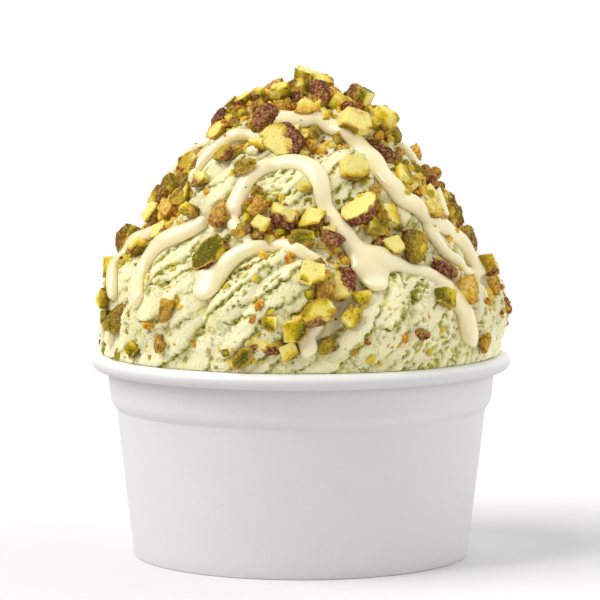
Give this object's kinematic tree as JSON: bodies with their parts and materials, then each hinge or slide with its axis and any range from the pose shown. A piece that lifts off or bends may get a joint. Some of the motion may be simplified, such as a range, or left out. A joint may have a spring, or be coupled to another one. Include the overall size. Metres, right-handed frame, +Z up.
{
  "type": "gelato cup",
  "caption": "Round white paper cup heaped with pale green pistachio gelato, drizzled with white sauce and set with chopped pistachios.",
  "frame": {"origin": "on the cup's axis, at the level of the surface that it stands on", "axes": "+Z up along the cup's axis, -Y towards the front (the side shown), +X to the right as seen from the front"},
  "size_m": [0.0978, 0.0977, 0.1143],
  "materials": {
    "paper": "smooth white coated paperboard with a soft sheen",
    "gelato": "frozen pale green gelato, soft and slightly moist",
    "pistachio": "chopped pistachio kernels, yellow-green flesh and brown-purple skin"
  },
  "bodies": {
    "root": {"cup": "paper", "gelato": "gelato", "pistachio_01": "pistachio", "pistachio_02": "pistachio", "pistachio_03": "pistachio", "pistachio_04": "pistachio", "pistachio_05": "pistachio", "pistachio_06": "pistachio", "pistachio_07": "pistachio", "pistachio_08": "pistachio", "pistachio_09": "pistachio", "pistachio_10": "pistachio", "pistachio_11": "pistachio", "pistachio_12": "pistachio", "pistachio_13": "pistachio", "pistachio_14": "pistachio", "pistachio_15": "pistachio", "pistachio_16": "pistachio", "pistachio_17": "pistachio", "pistachio_18": "pistachio", "pistachio_19": "pistachio", "pistachio_20": "pistachio", "pistachio_21": "pistachio", "pistachio_22": "pistachio", "pistachio_23": "pistachio", "pistachio_24": "pistachio", "pistachio_25": "pistachio", "pistachio_26": "pistachio", "pistachio_27": "pistachio", "pistachio_28": "pistachio", "pistachio_29": "pistachio", "pistachio_30": "pistachio", "pistachio_31": "pistachio", "pistachio_32": "pistachio", "pistachio_33": "pistachio", "pistachio_34": "pistachio", "pistachio_35": "pistachio", "pistachio_36": "pistachio", "pistachio_37": "pistachio", "pistachio_38": "pistachio", "pistachio_39": "pistachio", "pistachio_40": "pistachio", "pistachio_41": "pistachio", "pistachio_42": "pistachio", "pistachio_43": "pistachio", "pistachio_44": "pistachio", "pistachio_45": "pistachio", "pistachio_46": "pistachio", "pistachio_47": "pistachio", "pistachio_48": "pistachio", "pistachio_49": "pistachio", "pistachio_50": "pistachio", "pistachio_51": "pistachio", "pistachio_52": "pistachio", "pistachio_53": "pistachio", "pistachio_54": "pistachio", "pistachio_55": "pistachio", "pistachio_56": "pistachio"}
  },
  "joints": []
}
